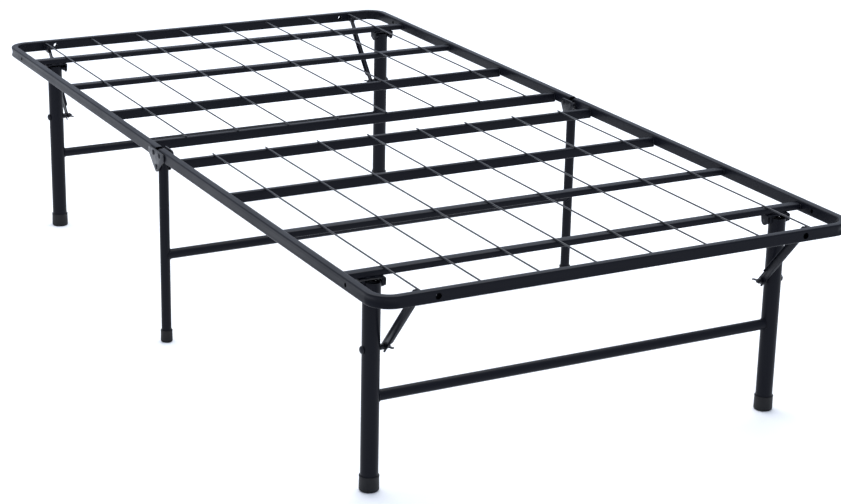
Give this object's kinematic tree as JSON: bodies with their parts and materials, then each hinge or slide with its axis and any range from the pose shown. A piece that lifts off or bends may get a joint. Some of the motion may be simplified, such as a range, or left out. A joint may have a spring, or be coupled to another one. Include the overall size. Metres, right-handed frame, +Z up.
{
  "type": "folding bed frame",
  "caption": "Folding platform bed frame: hinged rectangular-tube rails, tube slats, lengthwise wires, and folding legs with crossbars, braces and wing nuts.",
  "frame": {"origin": "on the floor, below the middle of the fold", "axes": "+Y along the bed towards the rear half, +X to the right side rail, +Z up"},
  "size_m": [0.9796, 1.905, 0.408],
  "materials": {
    "frame_coat": "satin black powder coat",
    "wire_coat": "satin black powder coat on drawn wire",
    "hardware": "black zinc-plated steel",
    "cap_plastic": "moulded black plastic, fine matte grain"
  },
  "bodies": {
    "rear_half": {"rail_rear": "frame_coat", "slat_rear_1": "frame_coat", "slat_rear_2": "frame_coat", "slat_rear_3": "frame_coat", "slat_rear_4": "frame_coat", "wire_rear_1": "wire_coat", "wire_rear_2": "wire_coat", "wire_rear_3": "wire_coat", "wire_rear_4": "wire_coat", "wire_rear_5": "wire_coat", "wire_rear_6": "wire_coat", "wire_rear_7": "wire_coat", "wire_rear_8": "wire_coat", "leg_bracket_rear_left": "frame_coat", "leg_bracket_rear_right": "frame_coat"},
    "hinge_link": {"hinge_link_left": "hardware", "hinge_link_right": "hardware"},
    "front_half": {"rail_front": "frame_coat", "slat_front_1": "frame_coat", "slat_front_2": "frame_coat", "slat_front_3": "frame_coat", "slat_front_4": "frame_coat", "wire_front_1": "wire_coat", "wire_front_2": "wire_coat", "wire_front_3": "wire_coat", "wire_front_4": "wire_coat", "wire_front_5": "wire_coat", "wire_front_6": "wire_coat", "wire_front_7": "wire_coat", "wire_front_8": "wire_coat", "leg_bracket_front_left": "frame_coat", "leg_bracket_front_right": "frame_coat"},
    "mid_leg_frame": {"mid_leg_left": "frame_coat", "mid_leg_right": "frame_coat", "mid_foot_cap_left": "cap_plastic", "mid_foot_cap_right": "cap_plastic", "mid_crossbar": "frame_coat"},
    "rear_leg_frame": {"leg_rear_left": "frame_coat", "leg_rear_right": "frame_coat", "foot_cap_rear_left": "cap_plastic", "foot_cap_rear_right": "cap_plastic", "crossbar_rear": "frame_coat", "brace_bolt_rear_left": "hardware", "brace_bolt_rear_right": "hardware"},
    "front_leg_frame": {"leg_front_left": "frame_coat", "leg_front_right": "frame_coat", "foot_cap_front_left": "cap_plastic", "foot_cap_front_right": "cap_plastic", "crossbar_front": "frame_coat", "brace_bolt_front_left": "hardware", "brace_bolt_front_right": "hardware"},
    "brace_rear_left": {"brace_rear_left": "frame_coat"},
    "wing_nut_rear_left": {"wing_nut_rear_left": "hardware"},
    "brace_rear_right": {"brace_rear_right": "frame_coat"},
    "wing_nut_rear_right": {"wing_nut_rear_right": "hardware"},
    "brace_front_left": {"brace_front_left": "frame_coat"},
    "wing_nut_front_left": {"wing_nut_front_left": "hardware"},
    "brace_front_right": {"brace_front_right": "frame_coat"},
    "wing_nut_front_right": {"wing_nut_front_right": "hardware"}
  },
  "joints": [
    {"name": "fold_rear", "type": "hinge", "parent": "rear_half", "child": "hinge_link", "pos_m": [0, 0.015, 0.396], "axis": [-1, 0, 0], "range_deg": [0, 90]},
    {"name": "fold_front", "type": "hinge", "parent": "hinge_link", "child": "front_half", "pos_m": [0, -0.015, 0.396], "axis": [-1, 0, 0], "range_deg": [0, 90]},
    {"name": "mid_legs", "type": "hinge", "parent": "hinge_link", "child": "mid_leg_frame", "pos_m": [0, 0, 0.37], "axis": [1, 0, 0], "range_deg": [0, 90]},
    {"name": "rear_legs", "type": "hinge", "parent": "rear_half", "child": "rear_leg_frame", "pos_m": [0, 0.798, 0.3765], "axis": [-1, 0, 0], "range_deg": [0, 90]},
    {"name": "front_legs", "type": "hinge", "parent": "front_half", "child": "front_leg_frame", "pos_m": [0, -0.798, 0.3765], "axis": [1, 0, 0], "range_deg": [0, 90]},
    {"name": "brace_rear_left", "type": "hinge", "parent": "rear_half", "child": "brace_rear_left", "pos_m": [-0.3935, 0.917, 0.393], "axis": [-1, 0, 0], "range_deg": [0, 42.3]},
    {"name": "wing_nut_rear_left", "type": "hinge", "parent": "rear_leg_frame", "child": "wing_nut_rear_left", "pos_m": [-0.3922, 0.806, 0.262], "axis": [-1, 0, 0], "continuous": true},
    {"name": "brace_rear_right", "type": "hinge", "parent": "rear_half", "child": "brace_rear_right", "pos_m": [0.3935, 0.917, 0.393], "axis": [-1, 0, 0], "range_deg": [0, 42.3]},
    {"name": "wing_nut_rear_right", "type": "hinge", "parent": "rear_leg_frame", "child": "wing_nut_rear_right", "pos_m": [0.3922, 0.806, 0.262], "axis": [1, 0, 0], "continuous": true},
    {"name": "brace_front_left", "type": "hinge", "parent": "front_half", "child": "brace_front_left", "pos_m": [-0.3935, -0.917, 0.393], "axis": [1, 0, 0], "range_deg": [0, 42.3]},
    {"name": "wing_nut_front_left", "type": "hinge", "parent": "front_leg_frame", "child": "wing_nut_front_left", "pos_m": [-0.3922, -0.806, 0.262], "axis": [-1, 0, 0], "continuous": true},
    {"name": "brace_front_right", "type": "hinge", "parent": "front_half", "child": "brace_front_right", "pos_m": [0.3935, -0.917, 0.393], "axis": [1, 0, 0], "range_deg": [0, 42.3]},
    {"name": "wing_nut_front_right", "type": "hinge", "parent": "front_leg_frame", "child": "wing_nut_front_right", "pos_m": [0.3922, -0.806, 0.262], "axis": [1, 0, 0], "continuous": true}
  ],
  "couplings": [
    {"joint": "brace_rear_left", "follows": "rear_legs", "ratio": 0.47},
    {"joint": "brace_rear_right", "follows": "rear_legs", "ratio": 0.47},
    {"joint": "brace_front_left", "follows": "front_legs", "ratio": 0.47},
    {"joint": "brace_front_right", "follows": "front_legs", "ratio": 0.47}
  ]
}
